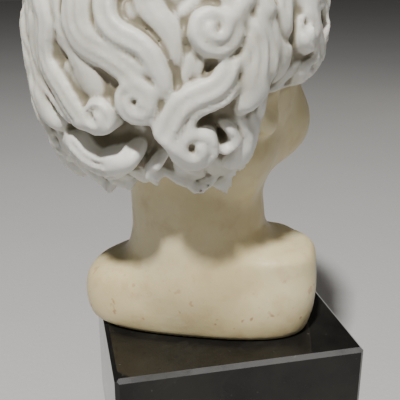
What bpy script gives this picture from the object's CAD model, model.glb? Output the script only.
import math

import bpy
import numpy as np
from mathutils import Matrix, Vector


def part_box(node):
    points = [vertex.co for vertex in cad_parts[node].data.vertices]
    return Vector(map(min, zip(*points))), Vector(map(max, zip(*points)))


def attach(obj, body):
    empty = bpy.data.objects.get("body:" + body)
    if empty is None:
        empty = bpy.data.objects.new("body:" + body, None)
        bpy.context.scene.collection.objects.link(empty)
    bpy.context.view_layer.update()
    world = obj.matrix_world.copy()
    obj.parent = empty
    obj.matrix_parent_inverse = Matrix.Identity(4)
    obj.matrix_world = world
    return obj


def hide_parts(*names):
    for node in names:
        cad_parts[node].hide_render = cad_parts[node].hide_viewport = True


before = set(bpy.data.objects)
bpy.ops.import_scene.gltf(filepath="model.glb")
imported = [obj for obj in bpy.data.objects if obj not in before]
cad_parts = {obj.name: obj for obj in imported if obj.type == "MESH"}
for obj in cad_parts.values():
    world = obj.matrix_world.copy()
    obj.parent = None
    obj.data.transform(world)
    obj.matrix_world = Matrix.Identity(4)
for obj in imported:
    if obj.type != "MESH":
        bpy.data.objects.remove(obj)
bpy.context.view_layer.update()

# ---------------------------------------------------------------- driving sizes, in millimetres
MM = 0.001
BUST_LOW = np.array(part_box("bust")[0]) / MM
BUST_HIGH = np.array(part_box("bust")[1]) / MM
BASE_Z = BUST_LOW[2]
STEP = 1.12

SHOULDER_TURN = -22
HEAD_TURN = -53
HEAD_X = 14
HEAD_Y = -4
SOCKET_RADIUS = 7.3
SOCKET_DEPTH = 42.5

# Sections of the figure from its base up, each an egg-shaped outline:
# height, centre x, centre y, half width, depth to back, depth to front,
# squareness, share of the head's turn, fall of the left shoulder
SECTIONS = np.array([
    (0, 7, 0, 45, 22, 24, 2.8, 0.0, 0.00),
    (2, 8, 0, 47, 23, 26, 2.8, 0.0, 0.01),
    (10, 8, 0, 49, 24, 28, 2.8, 0.0, 0.04),
    (19, 8, 0, 49, 23, 28, 2.8, 0.0, 0.10),
    (26, 8, -1, 47, 22, 27, 2.7, 0.0, 0.18),
    (30, 8, -1, 42, 21, 26, 2.5, 0.0, 0.20),
    (33, 8, -2, 35, 20, 25, 2.3, 0.1, 0.19),
    (37, 8, -3, 30, 20, 25, 2.1, 0.2, 0.12),
    (43, 9, -3, 28, 21, 26, 2.0, 0.5, 0.04),
    (50, 10, -3, 30, 24, 33, 2.0, 0.8, 0.00),
    (56, 12, -3, 35, 31, 42, 2.1, 1.0, 0.00),
    (64, 13, -4, 41, 38, 47, 2.1, 1.0, 0.00),
    (74, 14, -4, 47, 46, 49, 2.1, 1.0, 0.00),
    (86, 14, -4, 51, 52, 49, 2.1, 1.0, 0.00),
    (100, 14, -4, 53, 55, 49, 2.1, 1.0, 0.00),
    (116, 14, -4, 54, 56, 50, 2.1, 1.0, 0.00),
    (132, 15, -4, 53, 55, 52, 2.1, 1.0, 0.00),
    (148, 15, -4, 49, 50, 51, 2.1, 1.0, 0.00),
    (162, 15, -4, 41, 42, 45, 2.0, 1.0, 0.00),
    (173, 15, -4, 30, 31, 33, 2.0, 1.0, 0.00),
    (181, 15, -4, 17, 18, 18, 2.0, 1.0, 0.00),
    (185, 15, -4, 2, 2, 2, 2.0, 1.0, 0.00),
], float)


def section_values(height):
    """Every column of SECTIONS at a height or an array of heights, smoothly joined."""
    z = np.clip(height, SECTIONS[0, 0], SECTIONS[-1, 0])
    row = np.clip(np.searchsorted(SECTIONS[:, 0], z, side="right") - 1, 0, len(SECTIONS) - 2)
    low, high = SECTIONS[row], SECTIONS[row + 1]
    before, after = SECTIONS[np.maximum(row - 1, 0)], SECTIONS[np.minimum(row + 2, len(SECTIONS) - 1)]
    span = high[..., 0] - low[..., 0]
    t = ((z - low[..., 0]) / span)[..., None]
    slope_low = (high - before) / (high[..., :1] - before[..., :1]) * span[..., None]
    slope_high = (after - low) / (after[..., :1] - low[..., :1]) * span[..., None]
    return ((2 * t ** 3 - 3 * t ** 2 + 1) * low + (t ** 3 - 2 * t ** 2 + t) * slope_low
            + (3 * t ** 2 - 2 * t ** 3) * high + (t ** 3 - t ** 2) * slope_high)


def turned(x, y, degrees):
    angle = math.radians(degrees)
    return x * math.cos(angle) - y * math.sin(angle), x * math.sin(angle) + y * math.cos(angle)


# ---------------------------------------------------------------- signed-distance shapes
def smooth_union(a, b, k):
    h = np.maximum(k - np.abs(a - b), 0) / k
    return np.minimum(a, b) - h * h * k / 4


def smooth_cut(a, b, k):
    return -smooth_union(-a, b, k)


def ellipsoid(p, centre, radii):
    q = [(p[i] - centre[i]) / radii[i] for i in range(3)]
    k0 = np.sqrt(q[0] ** 2 + q[1] ** 2 + q[2] ** 2) + 1e-6
    k1 = np.sqrt((q[0] / radii[0]) ** 2 + (q[1] / radii[1]) ** 2 + (q[2] / radii[2]) ** 2) + 1e-6
    return k0 * (k0 - 1) / k1


def round_cone(p, start, end, radius_start, radius_end):
    axis = np.subtract(end, start)
    offset = [p[i] - start[i] for i in range(3)]
    along = sum(offset[i] * axis[i] for i in range(3)) / float(axis @ axis)
    along = np.clip(along, 0, 1)
    away = np.sqrt(sum((offset[i] - along * axis[i]) ** 2 for i in range(3)))
    return away - radius_start - along * (radius_end - radius_start)


class Clay:
    """A block of signed distances in millimetres: negative inside the stone."""

    def __init__(self, low, high, step):
        self.low = np.array(low, np.float32)
        self.step = step
        self.axes = [np.arange(low[i], high[i] + step, step, dtype=np.float32) for i in range(3)]
        self.field = np.full([len(a) for a in self.axes], 30, np.float32)

    def window(self, low, high):
        first = [max(int((low[i] - self.low[i]) / self.step), 0) for i in range(3)]
        last = [min(int((high[i] - self.low[i]) / self.step) + 2, len(self.axes[i])) for i in range(3)]
        cut = tuple(slice(a, b) for a, b in zip(first, last))
        x = self.axes[0][cut[0]][:, None, None]
        y = self.axes[1][cut[1]][None, :, None]
        z = self.axes[2][cut[2]][None, None, :]
        return cut, (x, y, z)


def head_space(p):
    """Object coordinates to the head's own: x to the figure's left, y to the back, z up."""
    x, y = turned(p[0] - HEAD_X, p[1] - HEAD_Y, -HEAD_TURN)
    return x, y, p[2] + 0 * x


def torso_space(p):
    x, y = turned(p[0], p[1], -SHOULDER_TURN)
    return x, y, p[2] + 0 * x


# ---------------------------------------------------------------- the body under the hair
def section_distance(p, low, high):
    """Rough signed distance to the egg-shaped sections between two heights."""
    lean = section_values(p[2].ravel())
    shape = (1, 1, -1)
    x = p[0] - lean[:, 1].reshape(shape)
    y = p[1] - lean[:, 2].reshape(shape)
    turn = np.radians(SHOULDER_TURN + (HEAD_TURN - SHOULDER_TURN) * lean[:, 7]).reshape(shape)
    across = x * np.cos(turn) + y * np.sin(turn)
    height = p[2] + lean[:, 8].reshape(shape) * across
    values = section_values(np.clip(height, low, high))
    deep = -x * np.sin(turn) + y * np.cos(turn)
    depth = np.where(deep > 0, values[..., 4], values[..., 5])
    power = values[..., 6]
    ratio = (np.abs(across / values[..., 3]) ** power + np.abs(deep / depth) ** power) ** (1 / power)
    side = (ratio - 1) * np.minimum(values[..., 3], depth) * 0.85
    return np.maximum(-smooth_union(-side, high - height, 7.5), low - p[2])


def carve_shoulders(clay):
    cut, p = clay.window((BUST_LOW[0] - 4, BUST_LOW[1] - 4, -3), (BUST_HIGH[0] + 4, BUST_HIGH[1] + 4, 110))
    body = section_distance(p, -5, 37)
    q = torso_space(p)
    neck = round_cone(p, (7, -2, 26), (10, -4, 78), 28.5, 26)
    body = smooth_union(body, neck, 7)
    for side, drop in ((1, 7), (-1, -6)):
        slope = round_cone(q, (8 + side * 12, 4, 30), (8 + side * 30, 0, 16 - drop), 7, 7)
        body = smooth_union(body, slope, 14)
        collar = round_cone(q, (8 + side * 5, -25, 26), (8 + side * 32, -18, 23 - drop), 3, 4)
        body = smooth_union(body, collar, 7)
        muscle = round_cone(p, (12 + side * 16, 8 - side * 10, 66), (4 + side * 3, -24, 30), 6, 4)
        body = smooth_union(body, muscle, 7)
    clay.field[cut] = np.minimum(clay.field[cut], body)


def carve_head(clay):
    cut, p = clay.window((BUST_LOW[0] - 4, BUST_LOW[1] - 4, 40), (BUST_HIGH[0] + 4, BUST_HIGH[1] + 4, 186))
    q = head_space(p)
    mirrored = (np.abs(q[0]), q[1], q[2])
    head = ellipsoid(q, (0, 2, 121), (45, 46, 52))
    head = smooth_union(head, ellipsoid(q, (0, -14, 128), (39, 34, 30)), 10)
    head = smooth_union(head, ellipsoid(q, (0, -12, 90), (39, 33, 36)), 12)
    head = smooth_union(head, round_cone(mirrored, (29, 0, 76), (0, -30, 63), 11, 10), 10)
    head = smooth_union(head, ellipsoid(mirrored, (22, -28, 84), (17, 15, 16)), 9)
    head = smooth_union(head, ellipsoid(q, (0, -37, 63), (9, 9, 7.5)), 7)
    head = smooth_union(head, ellipsoid(q, (0, -38, 77), (14, 9.5, 10)), 6)
    head = carve_eyes(head, mirrored)
    head = carve_nose(head, q, mirrored)
    head = carve_mouth(head, q, mirrored)
    head = carve_ears(head, mirrored)
    clay.field[cut] = smooth_union(clay.field[cut], head, 7)


EYE = (17, -33.9, 104.0)
EYE_RADIUS = 11.0
EYE_HALF_WIDTH = 10.0
# Halfway between the brow and the base of the nose
EAR_Z = 101


def carve_eyes(head, m):
    head = smooth_cut(head, ellipsoid(m, (17, -53, 105), (13, 8.5, 9)), 8)
    head = smooth_union(head, round_cone(m, (8, -44.5, 115.5), (26, -38, 116.5), 2.5, 2.5), 7)
    ball = ellipsoid(m, EYE, (EYE_RADIUS,) * 3)
    across = (m[0] - EYE[0]) / EYE_HALF_WIDTH
    height = m[2] - EYE[2] - 0.6 * across
    arch = 1 - across ** 2
    opening = np.minimum(4.7 * arch - height, height + 3.6 * arch)
    lids = ellipsoid(m, EYE, (EYE_RADIUS + 1.4,) * 3)
    lids = -smooth_union(-lids, -opening, 0.8)
    lids = np.maximum(lids, -5 - opening)
    head = smooth_union(head, lids, 2.2)
    head = smooth_cut(head, np.maximum(-opening, ball - 6), 0.8)
    pupil = round_cone(m, (16.4, -50, 104.6), (16.4, -45.2, 104.6), 2.2, 2.2)
    ball = smooth_cut(ball, pupil, 0.8)
    return np.minimum(head, ball)


def carve_nose(head, q, m):
    nose = round_cone(q, (0, -44.5, 107), (0, -48.5, 93), 3.4, 4.4)
    nose = smooth_union(nose, ellipsoid(q, (0, -50, 90.5), (5.2, 5.0, 4.8)), 3)
    nose = smooth_union(nose, ellipsoid(m, (5.8, -46.8, 89), (3.6, 4.2, 3.6)), 2.5)
    head = smooth_union(head, nose, 5)
    head = smooth_cut(head, ellipsoid(m, (3.4, -50, 85.6), (1.9, 2.8, 1.6)), 1)
    return smooth_cut(head, round_cone(q, (0, -51, 85), (0, -50, 81.5), 1.1, 1.5), 2.5)


def carve_mouth(head, q, m):
    upper = smooth_union(round_cone(m, (2.2, -48.2, 79.4), (10, -44.2, 77.2), 2.4, 1.2),
                         ellipsoid(q, (0, -48.6, 78.6), (2.8, 2.2, 2)), 1.5)
    lower = smooth_union(round_cone(m, (0, -47.6, 74.0), (4.8, -46.9, 74.3), 2.9, 2.5),
                         round_cone(m, (4.4, -47, 74.2), (9.2, -44.2, 76.0), 2.4, 1.2), 2)
    head = smooth_union(head, upper, 1.6)
    head = smooth_union(head, lower, 1.6)
    parting = smooth_union(round_cone(m, (0, -51.2, 76.5), (4.5, -50, 76.9), 0.9, 0.8),
                           round_cone(m, (4.5, -50, 76.9), (11, -45, 77.2), 0.8, 1.2), 1)
    head = smooth_cut(head, parting, 1.3)
    return smooth_cut(head, ellipsoid(q, (0, -50.5, 69.3), (7, 3.4, 2.4)), 4)


def carve_ears(head, m):
    ear = ellipsoid(m, (42, 5, EAR_Z), (3.4, 8, 12.5))
    ear = smooth_union(ear, ellipsoid(m, (41, 1, EAR_Z - 10), (3.6, 4.2, 5)), 4)
    ear = smooth_cut(ear, ellipsoid(m, (46, 3.5, EAR_Z + 0.5), (3.6, 5.2, 9)), 1.5)
    ear = smooth_union(ear, round_cone(m, (43, 0.5, EAR_Z + 4), (44, 8, EAR_Z + 5), 1.2, 1.4), 1.5)
    return smooth_union(head, ear, 2.5)


# ---------------------------------------------------------------- hair
# The hair is a relief over the mean surface of SECTIONS, kept on a grid of directions from the
# head's core: compass 0 is the face, 90 the figure's right and 180 the back.
CORE = np.array((14.0, -4.0, 112.0))
GRID_DEGREES = 0.6
LOWEST = -66
HAIR_SINK = 3.0
COVER = 1.6
MOAT = 1.6
HAIR_FLOOR = -10
WAVE = 1.3
STRAND = 1.75
SETTLE = 5.5
NAPE_TUCK = 1.5


def mean_radius(compass, elevation):
    """Distance from the core to the mean surface along each direction, by halving."""
    aim = directions(compass, elevation)
    near = np.zeros(compass.shape)
    far = np.full(compass.shape, 110.0)
    for step in range(15):
        middle = 0.5 * (near + far)
        p = CORE + aim * middle[..., None]
        values = section_values(p[..., 2])
        x, y = turned(p[..., 0] - values[..., 1], p[..., 1] - values[..., 2], -HEAD_TURN)
        depth = np.where(y > 0, values[..., 4], values[..., 5])
        power = values[..., 6]
        ratio = np.abs(x / values[..., 3]) ** power + np.abs(y / depth) ** power
        inside = (ratio < 1) & (p[..., 2] < SECTIONS[-1, 0]) & (p[..., 2] > 40)
        near = np.where(inside, middle, near)
        far = np.where(inside, far, middle)
    return near


def directions(compass, elevation):
    level = np.cos(np.radians(elevation))
    x, y = turned(-np.sin(np.radians(compass)) * level, -np.cos(np.radians(compass)) * level, HEAD_TURN)
    return np.stack([x, y, np.sin(np.radians(elevation))], axis=-1)


def bearings(points):
    """Compass, elevation and distance of points seen from the core."""
    away = points - CORE
    x, y = turned(away[..., 0], away[..., 1], -HEAD_TURN)
    level = np.hypot(x, y)
    return np.degrees(np.arctan2(-x, -y)) % 360, np.degrees(np.arctan2(away[..., 2], level)), \
        np.hypot(level, away[..., 2])


def scalp_point(compass, height):
    """A point on the hair's mean surface at a compass angle and a height above the base."""
    values = section_values(np.asarray(height, float))
    angle = np.radians(compass)
    x, y = -np.sin(angle), -np.cos(angle)
    depth = np.where(y > 0, values[..., 4], values[..., 5])
    power = values[..., 6]
    reach = (np.abs(x / values[..., 3]) ** power + np.abs(y / depth) ** power) ** (-1 / power)
    ox, oy = turned(x * reach, y * reach, HEAD_TURN)
    return np.stack([ox + values[..., 1], oy + values[..., 2], height + 0 * ox], axis=-1)


class Relief:
    def __init__(self):
        self.compass = np.arange(0, 360, GRID_DEGREES)
        self.elevation = np.arange(LOWEST, 90 + GRID_DEGREES, GRID_DEGREES)
        a, e = np.meshgrid(self.compass, self.elevation, indexing="ij")
        self.radius = mean_radius(a, e)
        self.points = CORE + directions(a, e) * self.radius[..., None]
        self.height = self.combed(a, self.points[..., 2])
        self.limit = self.edge(a, self.points[..., 2])
        beside_face = np.clip((112 - np.minimum(a, 360 - a)) / 12, 0, 1)
        self.settled = SETTLE * beside_face * np.clip((self.limit + 16) / 14, 0, 1) ** 1.5
        behind = np.clip((a - 106) / 8, 0, 1) * np.clip((192 - a) / 14, 0, 1)
        self.settled += NAPE_TUCK * behind * np.clip((82 - self.points[..., 2]) / 16, 0, 1)

    def combed(self, compass, z):
        """Under-layer: fine wavy strands that run down from the crown all round."""
        wave = compass + 9 * np.sin(z / 8.5 + compass / 17) + 5 * np.sin(z / 5.2 - compass / 11)
        strands = np.abs(np.sin(np.radians(wave * 27)))
        bundles = np.abs(np.sin(np.radians(wave * 9 + 40)))
        fade = np.clip((172 - z) / 14, 0, 1)
        nape = 8.5 * np.clip((100 - z) / 6, 0, 1) * np.clip((np.abs(compass - 180) - 75) / -15, 0, 1)
        return -HAIR_SINK - nape + fade * (0.8 * strands + 2.2 * bundles ** 0.7)

    def edge(self, compass, z):
        """How far the hairline has been passed, in millimetres: positive over face and neck."""
        off_face = np.minimum(compass, 360 - compass)
        brow = 140 - 0.0042 * off_face ** 2
        side = np.clip((off_face - 60) / 12, 0, 1)
        temple = brow * (1 - side) + 102 * side
        behind = np.clip((off_face - 103) / 8, 0, 1)
        hairline = temple * (1 - behind) + (63 - 4 * np.cos(np.radians(off_face) * 6)) * behind
        return hairline - z

    def surface(self):
        bare = np.clip(self.limit / 5, 0, 1)
        return self.radius + self.height - self.settled - 22 * bare * bare * (3 - 2 * bare)


def curve_through(points, spacing):
    """Catmull-Rom curve through rows of values, sampled about every `spacing` units."""
    pts = np.array(points, float)
    pts = np.vstack([2 * pts[0] - pts[1], pts, 2 * pts[-1] - pts[-2]])
    out = []
    for i in range(1, len(pts) - 2):
        count = max(int(np.linalg.norm(pts[i + 1, :2] - pts[i, :2]) / spacing), 2)
        t = np.linspace(0, 1, count, endpoint=False)[:, None]
        a, b, c, d = pts[i - 1], pts[i], pts[i + 1], pts[i + 2]
        out.append(0.5 * (2 * b + (c - a) * t + (2 * a - 5 * b + 4 * c - d) * t ** 2
                          + (3 * b - a - 3 * c + d) * t ** 3))
    out.append(pts[-2][None])
    return np.vstack(out)


def chart_scale(height):
    """Millimetres along the surface for one degree of compass at a height."""
    values = section_values(np.asarray(height, float))
    return math.radians(1) * (0.5 * values[..., 3] + 0.25 * (values[..., 4] + values[..., 5]))


def volute_rope(last, curl, half_width, inside):
    """Chart points of one rope of a spiral: curl is (compass, height, radius, turns, hand)."""
    compass, height, radius, turns, hand = curl
    scale = float(chart_scale(height))
    start = math.atan2(last[1] - height, -(last[0] - compass) * scale)
    outer = radius - half_width * (1 + 2 * inside)
    count = max(int(turns * 16), 6)
    angle = np.arange(1, count + 1) / count * turns * 2 * math.pi
    r = outer - 2 * half_width * angle / (2 * math.pi)
    keep = r > 0.25 * half_width
    angle, r = start + hand * angle[keep], r[keep]
    return np.stack([compass - r * np.cos(angle) / scale, height + r * np.sin(angle)], axis=1)


def lay_lock(relief, points, half_width, height, level=0.0, strands=3, curl=None, eye=0.0):
    """Paint one lock over the relief as a bundle of ropes.

    points are (compass, height above the base) from root to tip, level is the height of the
    lock's edges over the mean surface and height that of its crest above them, strands the
    number of ropes in it, and eye the size of the pit drilled in the middle of its spiral.
    """
    chart = curve_through(points, 2.0)
    scale = chart_scale(chart[:, 1])
    flow = np.gradient(chart, axis=0)
    flow[:, 0] *= -scale
    flow /= np.linalg.norm(flow, axis=1, keepdims=True)
    left = np.stack([flow[:, 1] / scale, flow[:, 0]], axis=1)
    place = np.linspace(0, 1, len(chart))
    phase = 0.9 * points[0][0]
    wave = WAVE * np.sin(0.52 * np.arange(len(chart)) + phase) * np.clip(2.2 - 2.2 * place, 0, 1)
    spread = np.clip(0.55 + 1.5 * place, 0, 1)
    if not curl:
        spread = spread * (0.15 + 0.85 * np.sqrt(np.clip((1 - place) / 0.4, 0, 1)))
    strands = max(strands, round(half_width / STRAND))
    rope_width = half_width / strands
    hand = curl[4] if curl else 1
    ropes = []
    for k in range(strands):
        aside = -hand * (half_width - rope_width * (2 * k + 1))
        line = chart + left * (aside * spread + wave)[:, None]
        if curl:
            line = np.vstack([line, volute_rope(line[-1], curl, rope_width, k)])
        count = len(line)
        share = np.arange(count) / (len(chart) - 1)
        widths = np.full(count, rope_width * (1.09 + 0.09 * math.sin(2.1 * k + phase)))
        widths[:len(chart)] *= 0.5 + 0.5 * spread
        if k and curl:
            widths[len(chart):] *= np.linspace(1, 0.5, count - len(chart))
        crest = height * np.clip(0.35 + 2.2 * share, 0, 1)
        if not curl:
            crest = crest * (0.4 + 0.6 * np.sqrt(np.clip((1 - share) / 0.3, 0, 1)))
        crest = crest * (1 - 0.34 * (aside / half_width) ** 2)
        base = level - 1.5 * np.clip(1 - 3 * share, 0, 1) + 0.9 * np.clip(share - 1, 0, 1)
        ropes.append((scalp_point(line[:, 0], line[:, 1]), widths, base, crest))
    paint(relief, ropes)
    if eye:
        drill(relief, scalp_point(curl[0], curl[1]), eye)


def paint(relief, ropes):
    widest = max(rope[1].max() for rope in ropes)
    cloud = np.vstack([rope[0] for rope in ropes])
    low = cloud.min(axis=0) - widest - 3
    high = cloud.max(axis=0) + widest + 3
    near = np.nonzero(np.all((relief.points > low) & (relief.points < high), axis=-1))
    p = relief.points[near]
    total = np.zeros(len(p))
    level = np.zeros(len(p))
    crest = np.zeros(len(p))
    closest = np.full(len(p), 99.0)
    for path, widths, base, crests in ropes:
        best = np.full(len(p), 9.0)
        spot = np.zeros(len(p))
        gap = np.full(len(p), 99.0)
        for i in range(len(path) - 1):
            axis = path[i + 1] - path[i]
            offset = p - path[i]
            t = np.clip(offset @ axis / max(axis @ axis, 1e-6), 0, 1)
            away = np.linalg.norm(offset - t[:, None] * axis, axis=1)
            width = widths[i] + t * (widths[i + 1] - widths[i])
            nearer = away / width < best
            best[nearer] = (away / width)[nearer]
            spot[nearer] = i + t[nearer]
            gap = np.minimum(gap, away - width)
        total += np.sqrt(np.clip(1 - best ** 2, 0, 1))
        steps = np.arange(len(path))
        ours = gap < closest
        level[ours] = np.interp(spot, steps, base)[ours]
        crest[ours] = np.interp(spot, steps, crests)[ours]
        closest = np.minimum(closest, gap)
    ridge = level + crest * np.minimum(total, 1.05)
    before = relief.height[near]
    under = before - COVER * np.clip((MOAT - closest) / MOAT, 0, 1)
    under = np.maximum(under, np.minimum(before, HAIR_FLOOR))
    relief.height[near] = np.where(closest < 0, np.maximum(ridge, under), under)
    relief.limit[near] = np.minimum(relief.limit[near], np.maximum(4 * closest + 1, -5))


def drill(relief, place, radius):
    away = np.linalg.norm(relief.points - place, axis=-1)
    relief.height -= 2.0 * np.exp(-(away / radius) ** 2)


def smoothed(height, passes):
    for _ in range(passes):
        around = 0.25 * (np.roll(height, 1, 0) + np.roll(height, -1, 0))
        height = 0.5 * height + around
        height[:, 1:-1] = 0.5 * height[:, 1:-1] + 0.25 * (height[:, 2:] + height[:, :-2])
    return height


# Locks seen from behind and from the figure's right, lower and deeper ones first:
# (points, half width, height, level, strands, curl, eye), with heights over the bust's base
BACK_LOCKS = [
    # nape
    ([(212, 86), (212, 77), (208, 69)], 4.4, 4, -4, 2, (203, 67, 5.0, 1.0, 1), 0),
    ([(203, 80), (203, 72), (199, 65)], 4.0, 4, -4, 2, (194, 63, 4.6, 1.0, 1), 0),
    ([(192, 80), (190, 70), (184, 63)], 3.6, 4, -6, 2, (180, 62, 4.0, 0.9, 1), 0),
    ([(188, 80), (182, 71), (174, 64)], 6, 4, -7, 3, None, 0),
    ([(174, 78), (169, 70), (161, 62)], 6, 3.5, -8, 3, None, 0),
    ([(142, 78), (134, 71), (126, 66)], 6, 3.0, -9, 3, None, 0),
    ([(126, 80), (120, 72), (114, 66)], 6, 3.0, -9, 3, None, 0),
    ([(146, 79), (152, 77), (155, 73)], 2.4, 4.0, -5, 1, (151, 72, 4.5, 0.7, 1), 0),
    ([(151, 76), (147, 70), (141, 65), (133, 61), (126, 64), (120, 66)], 1.8, 3.4, -7, 1, None, 0),
    ([(163, 70), (158, 65), (160, 60)], 2.4, 2.6, -8, 1, None, 0),
    # lower row
    ([(206, 96), (202, 88), (196, 80), (188, 76)], 4, 4, -5, 2, None, 0),
    ([(200, 92), (193, 85), (184, 80), (173, 78), (163, 79.5), (156, 84)], 6.4, 8.0, -4.5, 1, None, 0),
    ([(126, 106), (117, 98), (112, 91), (113, 82), (118, 75)], 6.0, 4.5, -5, 3, None, 0),
    ([(127, 95), (121, 92), (118, 88)], 2.0, 3.5, -3, 1, (123, 87, 4.2, 0.9, -1), 0.8),
    # left side lobes
    ([(216, 140), (212, 122), (207, 108), (201, 98), (192, 90)], 8.0, 6.0, -1.5, 1, None, 0),
    ([(208, 158), (213, 143), (206, 128), (203, 113), (192, 101), (182, 94), (171, 91)],
     3.0, 4.0, -1.5, 1, None, 0),
    ([(202, 160), (207, 144), (200, 130), (199, 115), (189, 103)], 3.6, 4.2, -1.0, 1, None, 0),
    # centre: strands behind, then the two lobes with their volutes
    ([(153, 156), (149, 142), (145, 130), (140, 118), (141, 103)], 4.5, 4.0, -3.0, 2, None, 0),
    ([(134, 128), (133, 116), (137, 108), (141, 101)], 3.6, 4.5, -3.0, 1, None, 0),
    ([(186, 156), (188, 142), (183, 128), (176, 118), (170, 108), (168, 98)],
     6.5, 3.6, -2.5, 2, None, 0),
    ([(194, 160), (201, 144), (193, 129), (193, 115), (184, 103), (177, 96)], 4.8, 4.4, -1.5, 2,
     (168.5, 98, 8.4, 1.5, 1), 0),
    ([(176, 164), (183, 149), (174, 136), (170, 123), (156, 116), (146, 109)], 6.6, 4.4, -1.5, 3,
     (153, 104, 10.0, 1.6, -1), 0),
    ([(164, 160), (160, 148), (162, 136), (158, 126), (149, 119), (143.5, 110), (143, 102)],
     4.0, 4.6, -0.8, 2, None, 0),
    # right of centre
    ([(112, 132), (116, 120), (124, 111), (136, 103), (143.5, 92)], 6.0, 5.0, -1.0, 3,
     (134, 89.5, 10.2, 1.7, 1), 0),
    ([(120, 146), (116, 130), (112, 118), (113, 107), (119, 100)], 8.0, 5.5, -1.5, 3, None, 0),
    ([(136, 160), (127, 150), (116, 142), (108, 131), (105, 119), (107, 109)],
     4.5, 4.5, -1, 2, None, 0),
    ([(150, 162), (138, 157), (126, 148), (118, 133)], 6.0, 5.0, -0.8, 3,
     (128, 126, 10.2, 1.7, -1), 0),
    ([(104, 128), (101, 118), (98, 110), (101, 105)], 4.4, 4.5, -3.5, 2, None, 0),
    ([(108, 158), (102, 146), (98, 134), (98, 122)], 5.4, 5.2, -2.5, 2, None, 0),
    ([(97, 152), (92, 141), (91, 132), (93, 124)], 3.0, 4.0, -4.0, 1, None, 0),
]

# Curls along the forehead and temples of both sides, from the parting outward
FRINGE = [
    ([(2, 164), (12, 154), (10, 145), (6, 138)], 5.0, (12, 137, 8.0, 1.5, -1)),
    ([(20, 166), (30, 156), (30, 146), (25, 139)], 5.0, (31, 137, 8.5, 1.5, -1)),
    ([(42, 162), (50, 150), (48, 141), (42, 133)], 5.0, (49, 130, 8.5, 1.5, -1)),
    ([(62, 156), (68, 142), (64, 130), (57, 122)], 5.0, (64, 118, 8.5, 1.5, -1)),
    ([(84, 148), (84, 134), (80, 122), (72, 112)], 5.0, (79, 108, 8.0, 1.5, -1)),
    ([(98, 134), (98, 120), (92, 110), (86, 103)], 4.6, (93, 101, 7.0, 1.4, -1)),
]

# Tiers of locks over the rest of the head: start height, end height, number round the head
TIERS = [(98, 68, 13), (116, 88, 13), (136, 108, 13), (156, 128, 12), (172, 148, 9)]
CROWN_LOCKS = 9


def on_face(compass, height):
    off_face = min(compass % 360, 360 - compass % 360)
    return (off_face < 56 and height < 136) or (off_face < 84 and height < 106)


def in_back_view(compass, height):
    return 84 < compass < 212 and height < 146


def lay_other_locks(relief):
    rng = np.random.default_rng(7)
    for tier, (start, end, count) in enumerate(TIERS):
        for curled in (False, True):
            for i in range(count):
                shift = 0.5 * (tier % 2) + (0 if curled else 0.5)
                compass = (360 * (i + shift) / count + rng.uniform(-6, 6)) % 360
                hand = 1 if rng.uniform() < 0.5 else -1
                root = start + rng.uniform(-5, 8)
                low = end + rng.uniform(-6, 6)
                half_width = rng.uniform(4.6, 6.4)
                radius = half_width + rng.uniform(2.2, 4.4)
                sway = hand * rng.uniform(5, 12) / float(chart_scale(0.5 * (start + end)))
                drift = rng.uniform(-8, 8)
                if on_face(compass, low) or in_back_view(compass, 0.5 * (start + end)):
                    continue
                fall = root - low
                points = [
                    (compass + drift, root),
                    (compass + 0.5 * drift + sway, root - 0.33 * fall),
                    (compass, root - 0.68 * fall),
                    (compass - 0.6 * sway, low + (radius if curled else 0)),
                ]
                if curled:
                    side = hand * (radius - half_width) / float(chart_scale(low))
                    curl = (points[-1][0] - side, low, radius, 1.6, hand)
                    lay_lock(relief, points, half_width, 5.0, -1.0, 3, curl, 0)
                else:
                    lay_lock(relief, points, half_width + 1, 4.5, -2.5, 3, None, 0)
    for i in range(CROWN_LOCKS):
        compass = 360 * i / CROWN_LOCKS + rng.uniform(-5, 5)
        reach = rng.uniform(152, 164)
        points = [(compass, 184), (compass + 22, 180), (compass + 36, 173), (compass + 38, reach)]
        lay_lock(relief, points, 6.5, 4.5, -2.0, 3, None, 0)


def lay_fringe(relief):
    for points, half_width, curl in FRINGE:
        for side in (1, -1):
            compass, height, radius, turns, hand = curl
            if side == 1 and compass > 84:
                continue
            mirrored = [(side * (a + 2 * side), z + 1.5 * side) for a, z in points]
            ending = (side * (compass + 2 * side), height + 1.5 * side, radius, turns, side * hand)
            lay_lock(relief, mirrored, half_width, 5.0, -2.0, 3, ending, 0)


def lay_hair(clay):
    relief = Relief()
    lay_other_locks(relief)
    lay_fringe(relief)
    for points, half_width, height, level, strands, curl, eye in BACK_LOCKS:
        lay_lock(relief, points, half_width, height, level, strands, curl, eye)
    relief.height = smoothed(relief.height, 3)
    reach = relief.surface()
    cut, p = clay.window((BUST_LOW[0] - 4, BUST_LOW[1] - 4, 44), (BUST_HIGH[0] + 4, BUST_HIGH[1] + 4, 190))
    away = np.stack(np.broadcast_arrays(*p), axis=-1)
    compass, elevation, distance = bearings(away)
    column = compass / GRID_DEGREES
    row = np.clip((elevation - LOWEST) / GRID_DEGREES, 0, len(relief.elevation) - 1.001)
    c0, r0 = np.floor(column).astype(int), np.floor(row).astype(int)
    u, v = column - c0, row - r0
    c0, c1 = c0 % len(relief.compass), (c0 + 1) % len(relief.compass)
    outline = (reach[c0, r0] * (1 - u) * (1 - v) + reach[c1, r0] * u * (1 - v)
               + reach[c0, r0 + 1] * (1 - u) * v + reach[c1, r0 + 1] * u * v)
    hair = (distance - outline) * 0.8
    hair = np.where(elevation < LOWEST, 20, hair)
    clay.field[cut] = np.minimum(clay.field[cut], hair.astype(np.float32))


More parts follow.
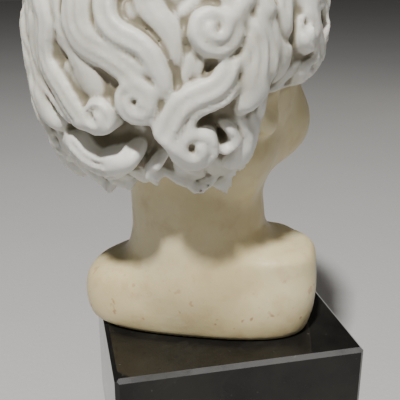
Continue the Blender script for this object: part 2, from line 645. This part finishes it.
# ---------------------------------------------------------------- from distances to a mesh
def polygonise(clay):
    """Surface nets: one vertex in each cell that the surface crosses, one quad per crossed edge."""
    field = clay.field
    inside = field < 0
    shape = [n - 1 for n in field.shape]
    corners = sum(inside[i:i + shape[0], j:j + shape[1], k:k + shape[2]].astype(np.int8)
                  for i in (0, 1) for j in (0, 1) for k in (0, 1))
    active = (corners > 0) & (corners < 8)
    number = np.full(active.shape, -1, np.int64)
    cells = np.stack(np.nonzero(active), axis=1)
    number[active] = np.arange(len(cells))
    total = np.zeros((len(cells), 3))
    crossings = np.zeros(len(cells))
    for axis in range(3):
        for a in (0, 1):
            for b in (0, 1):
                corner = np.zeros(3, int)
                corner[(axis + 1) % 3] = a
                corner[(axis + 2) % 3] = b
                start = cells + corner
                end = start.copy()
                end[:, axis] += 1
                low = field[tuple(start.T)]
                high = field[tuple(end.T)]
                crossed = (low < 0) != (high < 0)
                share = np.where(crossed, low / np.where(crossed, low - high, 1), 0)
                place = np.tile(corner.astype(float), (len(cells), 1))
                place[:, axis] += share
                total += place * crossed[:, None]
                crossings += crossed
    points = clay.low + clay.step * (cells + total / crossings[:, None])
    quads = []
    for axis in range(3):
        u = (axis + 1) % 3
        v = (axis + 2) % 3
        low = [slice(None)] * 3
        high = [slice(None)] * 3
        low[axis] = slice(None, -1)
        high[axis] = slice(1, None)
        change = inside[tuple(low)] != inside[tuple(high)]
        nodes = np.stack(np.nonzero(change), axis=1)
        keep = (nodes[:, u] > 0) & (nodes[:, v] > 0) & (nodes[:, u] < shape[u]) & (nodes[:, v] < shape[v])
        nodes = nodes[keep]
        ring = []
        for du, dv in ((1, 1), (0, 1), (0, 0), (1, 0)):
            cell = nodes.copy()
            cell[:, u] -= du
            cell[:, v] -= dv
            ring.append(number[tuple(cell.T)])
        ring = np.stack(ring, axis=1)
        outward_up = inside[tuple(nodes.T)]
        ring[~outward_up] = ring[~outward_up][:, ::-1]
        quads.append(ring)
    return points, np.vstack(quads)


def sample(clay, field, points):
    """Values of a field at points, by trilinear interpolation."""
    place = (points - clay.low) / clay.step
    base = np.clip(np.floor(place).astype(int), 0, np.array(field.shape) - 2)
    t = place - base
    out = 0
    for i in (0, 1):
        for j in (0, 1):
            for k in (0, 1):
                weight = (np.abs(1 - i - t[:, 0]) * np.abs(1 - j - t[:, 1]) * np.abs(1 - k - t[:, 2]))
                out = out + weight * field[base[:, 0] + i, base[:, 1] + j, base[:, 2] + k]
    return out


def largest_part(points, quads):
    """Drop loose crumbs: keep only the connected part with the most vertices."""
    label = np.arange(len(points))
    edges = np.vstack([quads[:, [0, 1]], quads[:, [1, 2]], quads[:, [2, 3]]])
    while True:
        before = label.copy()
        smallest = np.minimum(label[edges[:, 0]], label[edges[:, 1]])
        np.minimum.at(label, edges[:, 0], smallest)
        np.minimum.at(label, edges[:, 1], smallest)
        label = label[label]
        label = label[label]
        if (label == before).all():
            break
    keep = label == np.bincount(label).argmax()
    renumber = np.cumsum(keep) - 1
    quads = renumber[quads[keep[quads[:, 0]]]]
    return points[keep], quads


def blurred(field, size):
    """Mean of a field over a cube of 2 * size + 1 nodes."""
    for axis in range(3):
        pad = [(0, 0)] * 3
        pad[axis] = (size + 1, size)
        total = np.cumsum(np.pad(field, pad, mode="edge"), axis=axis, dtype=np.float64)
        low = [slice(None)] * 3
        high = [slice(None)] * 3
        high[axis] = slice(2 * size + 1, None)
        low[axis] = slice(None, -(2 * size + 1))
        field = ((total[tuple(high)] - total[tuple(low)]) / (2 * size + 1)).astype(np.float32)
    return field


def sculpt_bust():
    margin = 5
    low = (BUST_LOW[0] - margin, BUST_LOW[1] - margin, -4)
    high = (BUST_HIGH[0] + margin, BUST_HIGH[1] + margin, BUST_HIGH[2] - BASE_Z + margin)
    skin = Clay(low, high, STEP)
    carve_shoulders(skin)
    carve_head(skin)
    hair = Clay(low, high, STEP)
    lay_hair(hair)
    clay = Clay(low, high, STEP)
    clay.field = smooth_union(skin.field, hair.field, 1.5)
    cut, p = clay.window(low, high)
    socket = np.maximum(np.sqrt(p[0] ** 2 + p[1] ** 2) - SOCKET_RADIUS, p[2] - SOCKET_DEPTH)
    clay.field = np.maximum(clay.field, -socket)
    clay.field = np.maximum(clay.field, -p[2] + 0 * p[0])
    points, quads = polygonise(clay)
    points, quads = largest_part(points, quads)
    close = np.clip(clay.field, -4, 4)
    crease = sample(clay, blurred(close, max(round(2.2 / STEP), 1)), points)
    recess = sample(clay, blurred(close, round(6.5 / STEP)), points)
    hollow = -crease / 1.5 - recess / 2.3
    whiteness = sample(clay, skin.field - hair.field, points)
    mesh = bpy.data.meshes.new("carved_bust")
    mesh.vertices.add(len(points))
    mesh.vertices.foreach_set("co", ((points + [0, 0, BASE_Z]) * MM).astype(np.float32).ravel())
    mesh.loops.add(quads.size)
    mesh.loops.foreach_set("vertex_index", quads.astype(np.int32).ravel())
    mesh.polygons.add(len(quads))
    mesh.polygons.foreach_set("loop_start", np.arange(0, quads.size, 4, dtype=np.int32))
    mesh.polygons.foreach_set("use_smooth", np.ones(len(quads), bool))
    mesh.update(calc_edges=True)
    for name, values in (("hair", np.clip(0.5 + whiteness / 1.6, 0, 1)),
                         ("hollow", np.clip(hollow, -1, 1))):
        layer = mesh.attributes.new(name, "FLOAT", "POINT")
        layer.data.foreach_set("value", values.astype(np.float32))
    mesh.validate()
    piece = bpy.data.objects.new("carved_bust", mesh)
    bpy.context.scene.collection.objects.link(piece)
    print("carved bust:", len(points), "points,", len(quads), "faces")
    return piece


# ---------------------------------------------------------------- materials
class Stuff:
    """A new material and short ways to add its nodes."""

    def __init__(self, name):
        self.material = bpy.data.materials.new(name)
        self.material.use_nodes = True
        self.nodes = self.material.node_tree.nodes
        self.links = self.material.node_tree.links
        self.shader = self.nodes["Principled BSDF"]
        self.place = self.nodes.new("ShaderNodeTexCoord").outputs["Object"]

    def attribute(self, name):
        node = self.nodes.new("ShaderNodeAttribute")
        node.attribute_name = name
        return node.outputs["Fac"]

    def stretched(self, x, y, z):
        node = self.nodes.new("ShaderNodeMapping")
        node.inputs["Scale"].default_value = (x, y, z)
        self.links.new(self.place, node.inputs["Vector"])
        return node.outputs["Vector"]

    def height(self):
        node = self.nodes.new("ShaderNodeSeparateXYZ")
        self.links.new(self.place, node.inputs["Vector"])
        return node.outputs["Z"]

    def noise(self, scale, detail=3.0, roughness=0.5, distortion=0.0, vector=None):
        node = self.nodes.new("ShaderNodeTexNoise")
        node.inputs["Scale"].default_value = scale
        node.inputs["Detail"].default_value = detail
        node.inputs["Roughness"].default_value = roughness
        node.inputs["Distortion"].default_value = distortion
        self.links.new(vector or self.place, node.inputs["Vector"])
        return node.outputs["Fac"]

    def remap(self, value, low, high, to_low=0.0, to_high=1.0):
        node = self.nodes.new("ShaderNodeMapRange")
        node.interpolation_type = "SMOOTHSTEP"
        for name, number in (("From Min", low), ("From Max", high), ("To Min", to_low), ("To Max", to_high)):
            node.inputs[name].default_value = number
        self.links.new(value, node.inputs["Value"])
        return node.outputs["Result"]

    def times(self, a, b):
        node = self.nodes.new("ShaderNodeMath")
        node.operation = "MULTIPLY"
        self.links.new(a, node.inputs[0])
        if isinstance(b, float):
            node.inputs[1].default_value = b
        else:
            self.links.new(b, node.inputs[1])
        return node.outputs["Value"]

    def mix(self, share, a, b):
        node = self.nodes.new("ShaderNodeMix")
        node.data_type = "RGBA"
        for name, colour in (("A", a), ("B", b)):
            if isinstance(colour, tuple):
                node.inputs[name].default_value = (*colour, 1)
            else:
                self.links.new(colour, node.inputs[name])
        self.links.new(share, node.inputs["Factor"])
        return node.outputs["Result"]

    def bump(self, value, depth, normal=None):
        node = self.nodes.new("ShaderNodeBump")
        node.inputs["Strength"].default_value = 1.0
        node.inputs["Distance"].default_value = depth
        self.links.new(value, node.inputs["Height"])
        if normal:
            self.links.new(normal, node.inputs["Normal"])
        self.links.new(node.outputs["Normal"], self.shader.inputs["Normal"])
        return node.outputs["Normal"]

    def set(self, **values):
        for name, value in values.items():
            socket = self.shader.inputs[name.replace("_", " ")]
            if isinstance(value, bpy.types.NodeSocket):
                self.links.new(value, socket)
            else:
                socket.default_value = value


def white_marble():
    """Cream polished skin, cooler and rougher white hair, and dust browned into the hollows."""
    m = Stuff("white_marble")
    cloud = m.noise(22, 4, 0.6)
    mottle = m.noise(130, 3, 0.55)
    grain = m.noise(900, 2, 0.5)
    skin = m.mix(m.remap(cloud, 0.35, 0.68), (0.64, 0.54, 0.30), (0.74, 0.66, 0.42))
    skin = m.mix(m.times(m.remap(mottle, 0.48, 0.75), 0.45), skin, (0.55, 0.41, 0.22))
    low_down = m.remap(m.height(), 0.100, 0.066)
    spots = m.times(m.remap(m.noise(210, 2, 0.6), 0.62, 0.72), low_down)
    skin = m.mix(m.times(spots, 0.7), skin, (0.34, 0.13, 0.06))
    hair = m.mix(m.remap(cloud, 0.3, 0.7), (0.60, 0.59, 0.51), (0.70, 0.70, 0.65))
    hair = m.mix(m.times(m.remap(mottle, 0.5, 0.8), 0.35), hair, (0.52, 0.48, 0.39))
    hollow = m.attribute("hollow")
    deep = m.remap(hollow, 0.0, 0.6)
    skin = m.mix(m.times(m.remap(hollow, 0.3, 0.9), 0.5), skin, (0.30, 0.19, 0.09))
    hair = m.mix(m.times(deep, 0.9), hair, (0.18, 0.15, 0.09))
    raised = m.remap(hollow, -0.1, -0.8)
    hair = m.mix(m.times(raised, 0.6), hair, (0.78, 0.78, 0.75))
    where_hair = m.attribute("hair")
    colour = m.mix(where_hair, skin, hair)
    rough = m.mix(where_hair, (0.33, 0.33, 0.33), (0.47, 0.47, 0.47))
    rough = m.mix(m.times(m.remap(mottle, 0.3, 0.7), 0.25), rough, (0.62, 0.62, 0.62))
    m.bump(grain, 0.00006, m.bump(m.noise(60, 3, 0.6), 0.00035))
    m.set(Base_Color=colour, Roughness=rough, Subsurface_Weight=0.22,
          Subsurface_Radius=(1.0, 0.62, 0.34), Subsurface_Scale=0.0022)
    return m.material


def black_marble():
    """Near-black polished stone with faint grey threads, pale specks and polishing haze."""
    m = Stuff("black_marble")
    wavy = m.noise(14, 6, 0.65, 1.6)
    thread = m.times(m.remap(wavy, 0.47, 0.50), m.remap(wavy, 0.53, 0.50))
    patchy = m.remap(m.noise(9, 2, 0.5), 0.45, 0.7)
    specks = m.remap(m.noise(420, 2, 0.5), 0.70, 0.78)
    colour = m.mix(m.remap(m.noise(30, 4, 0.6), 0.3, 0.7), (0.0065, 0.0062, 0.006), (0.017, 0.016, 0.014))
    colour = m.mix(m.times(m.times(thread, patchy), 0.30), colour, (0.11, 0.105, 0.095))
    colour = m.mix(m.times(specks, 0.35), colour, (0.10, 0.095, 0.085))
    m.bump(m.noise(35, 2, 0.5), 0.00004)
    m.set(Base_Color=colour, Roughness=m.remap(m.noise(55, 4, 0.7), 0.35, 0.75, 0.04, 0.12),
          Specular_IOR_Level=0.3)
    return m.material


def metal(name, light, dark, rough, stretch, grain_scale):
    """Metal with tool marks: noise drawn out along one way gives streaks of tone and roughness."""
    m = Stuff(name)
    streaks = m.noise(grain_scale, 3, 0.6, 0.0, m.stretched(*stretch))
    stains = m.noise(160, 4, 0.6)
    colour = m.mix(streaks, dark, light)
    colour = m.mix(m.times(m.remap(stains, 0.5, 0.8), 0.4), colour, dark)
    m.bump(streaks, 0.00003)
    m.set(Base_Color=colour, Metallic=1.0, Roughness=m.remap(stains, 0.3, 0.7, rough, rough + 0.15))
    return m.material


def mortar():
    m = Stuff("mortar")
    sand = m.noise(1400, 3, 0.7)
    patches = m.noise(90, 3, 0.6)
    colour = m.mix(patches, (0.30, 0.28, 0.24), (0.46, 0.43, 0.38))
    colour = m.mix(m.times(m.remap(sand, 0.55, 0.7), 0.6), colour, (0.60, 0.57, 0.50))
    m.bump(sand, 0.0002)
    m.set(Base_Color=colour, Roughness=0.92)
    return m.material


def nylon():
    m = Stuff("nylon")
    scuffs = m.noise(500, 3, 0.6, 0.0, m.stretched(1, 1, 0.2))
    colour = m.mix(m.noise(60, 2, 0.5), (0.72, 0.70, 0.62), (0.80, 0.79, 0.73))
    m.bump(scuffs, 0.00003)
    m.set(Base_Color=colour, Roughness=m.remap(scuffs, 0.3, 0.7, 0.38, 0.55),
          Subsurface_Weight=0.1, Subsurface_Scale=0.001)
    return m.material


def felt():
    """Pressed green wool: fibres of two tones, tufted and dull."""
    m = Stuff("felt")
    fibres = m.noise(1100, 4, 0.75, 1.5)
    clumps = m.noise(140, 3, 0.6)
    colour = m.mix(fibres, (0.008, 0.030, 0.018), (0.030, 0.095, 0.058))
    colour = m.mix(m.times(clumps, 0.4), colour, (0.014, 0.050, 0.030))
    m.bump(fibres, 0.0004)
    m.set(Base_Color=colour, Roughness=0.95, Sheen_Weight=0.4, Sheen_Roughness=0.5)
    return m.material


def pale_floor():
    m = Stuff("floor")
    shade = m.noise(6, 4, 0.6)
    colour = m.mix(shade, (0.50, 0.50, 0.51), (0.56, 0.56, 0.56))
    m.bump(m.noise(300, 3, 0.6), 0.0002)
    m.set(Base_Color=colour, Roughness=0.75)
    return m.material


def assign(node, material):
    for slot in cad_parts[node].material_slots:
        slot.material = material


# ---------------------------------------------------------------- build
bust = sculpt_bust()
bust.data.materials.append(white_marble())
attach(bust, "figure")
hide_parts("bust")

zinc = metal("zinc_steel", (0.62, 0.63, 0.66), (0.40, 0.41, 0.44), 0.28, (1, 1, 6), 250)
CAD_MATERIALS = {
    "bust": bust.data.materials[0],
    "plinth": black_marble(),
    "pivot_stud": zinc,
    "stud_mortar": mortar(),
    "thrust_disc": nylon(),
    "plinth_bush": metal("brass", (0.72, 0.50, 0.20), (0.50, 0.33, 0.12), 0.25, (1, 1, 9), 220),
    "flat_washer": zinc,
    "spring_washer": metal("spring_steel", (0.30, 0.31, 0.33), (0.12, 0.12, 0.13), 0.35, (1, 1, 5), 300),
    "hex_nut": zinc,
    "felt_base": felt(),
}
for node_name, material in CAD_MATERIALS.items():
    assign(node_name, material)

# ---------------------------------------------------------------- floor, lights and camera
floor_mesh = bpy.data.meshes.new("floor")
floor_mesh.from_pydata([(-3, -3, 0), (3, -3, 0), (3, 3, 0), (-3, 3, 0)], [], [(0, 1, 2, 3)])
floor = bpy.data.objects.new("floor", floor_mesh)
bpy.context.scene.collection.objects.link(floor)
floor_mesh.materials.append(pale_floor())

world = bpy.data.worlds.new("studio")
world.use_nodes = True
world.node_tree.nodes["Background"].inputs["Color"].default_value = (1.0, 0.97, 0.93, 1)
world.node_tree.nodes["Background"].inputs["Strength"].default_value = 0.06
bpy.context.scene.world = world


def area_light(name, place, target, width, height, power, colour):
    data = bpy.data.lights.new(name, "AREA")
    data.shape = "RECTANGLE"
    data.size = width
    data.size_y = height
    data.energy = power
    data.color = colour
    light = bpy.data.objects.new(name, data)
    light.location = place
    light.rotation_euler = (Vector(target) - Vector(place)).to_track_quat("-Z", "Y").to_euler()
    bpy.context.scene.collection.objects.link(light)


area_light("key", (0.27, 0.50, 1.02), (0, 0, 0.15), 0.07, 0.07, 19, (1.0, 0.97, 0.92))
area_light("strip", (-0.25, 0.60, 0.85), (-0.25, 0.04, 0.06), 0.90, 0.04, 0.7, (1.0, 0.98, 0.95))
area_light("fill", (-0.70, -0.40, 0.45), (0, 0, 0.12), 0.60, 0.60, 0.5, (1.0, 0.88, 0.74))

camera_data = bpy.data.cameras.new("camera")
camera_data.sensor_width = 36
camera_data.lens = 60.7
camera = bpy.data.objects.new("camera", camera_data)
camera.location = (0.0656, 0.2546, 0.2109)
camera.rotation_euler = (math.radians(90 - 20.28), 0, math.radians(180 - 12.74))
bpy.context.scene.collection.objects.link(camera)
bpy.context.scene.camera = camera
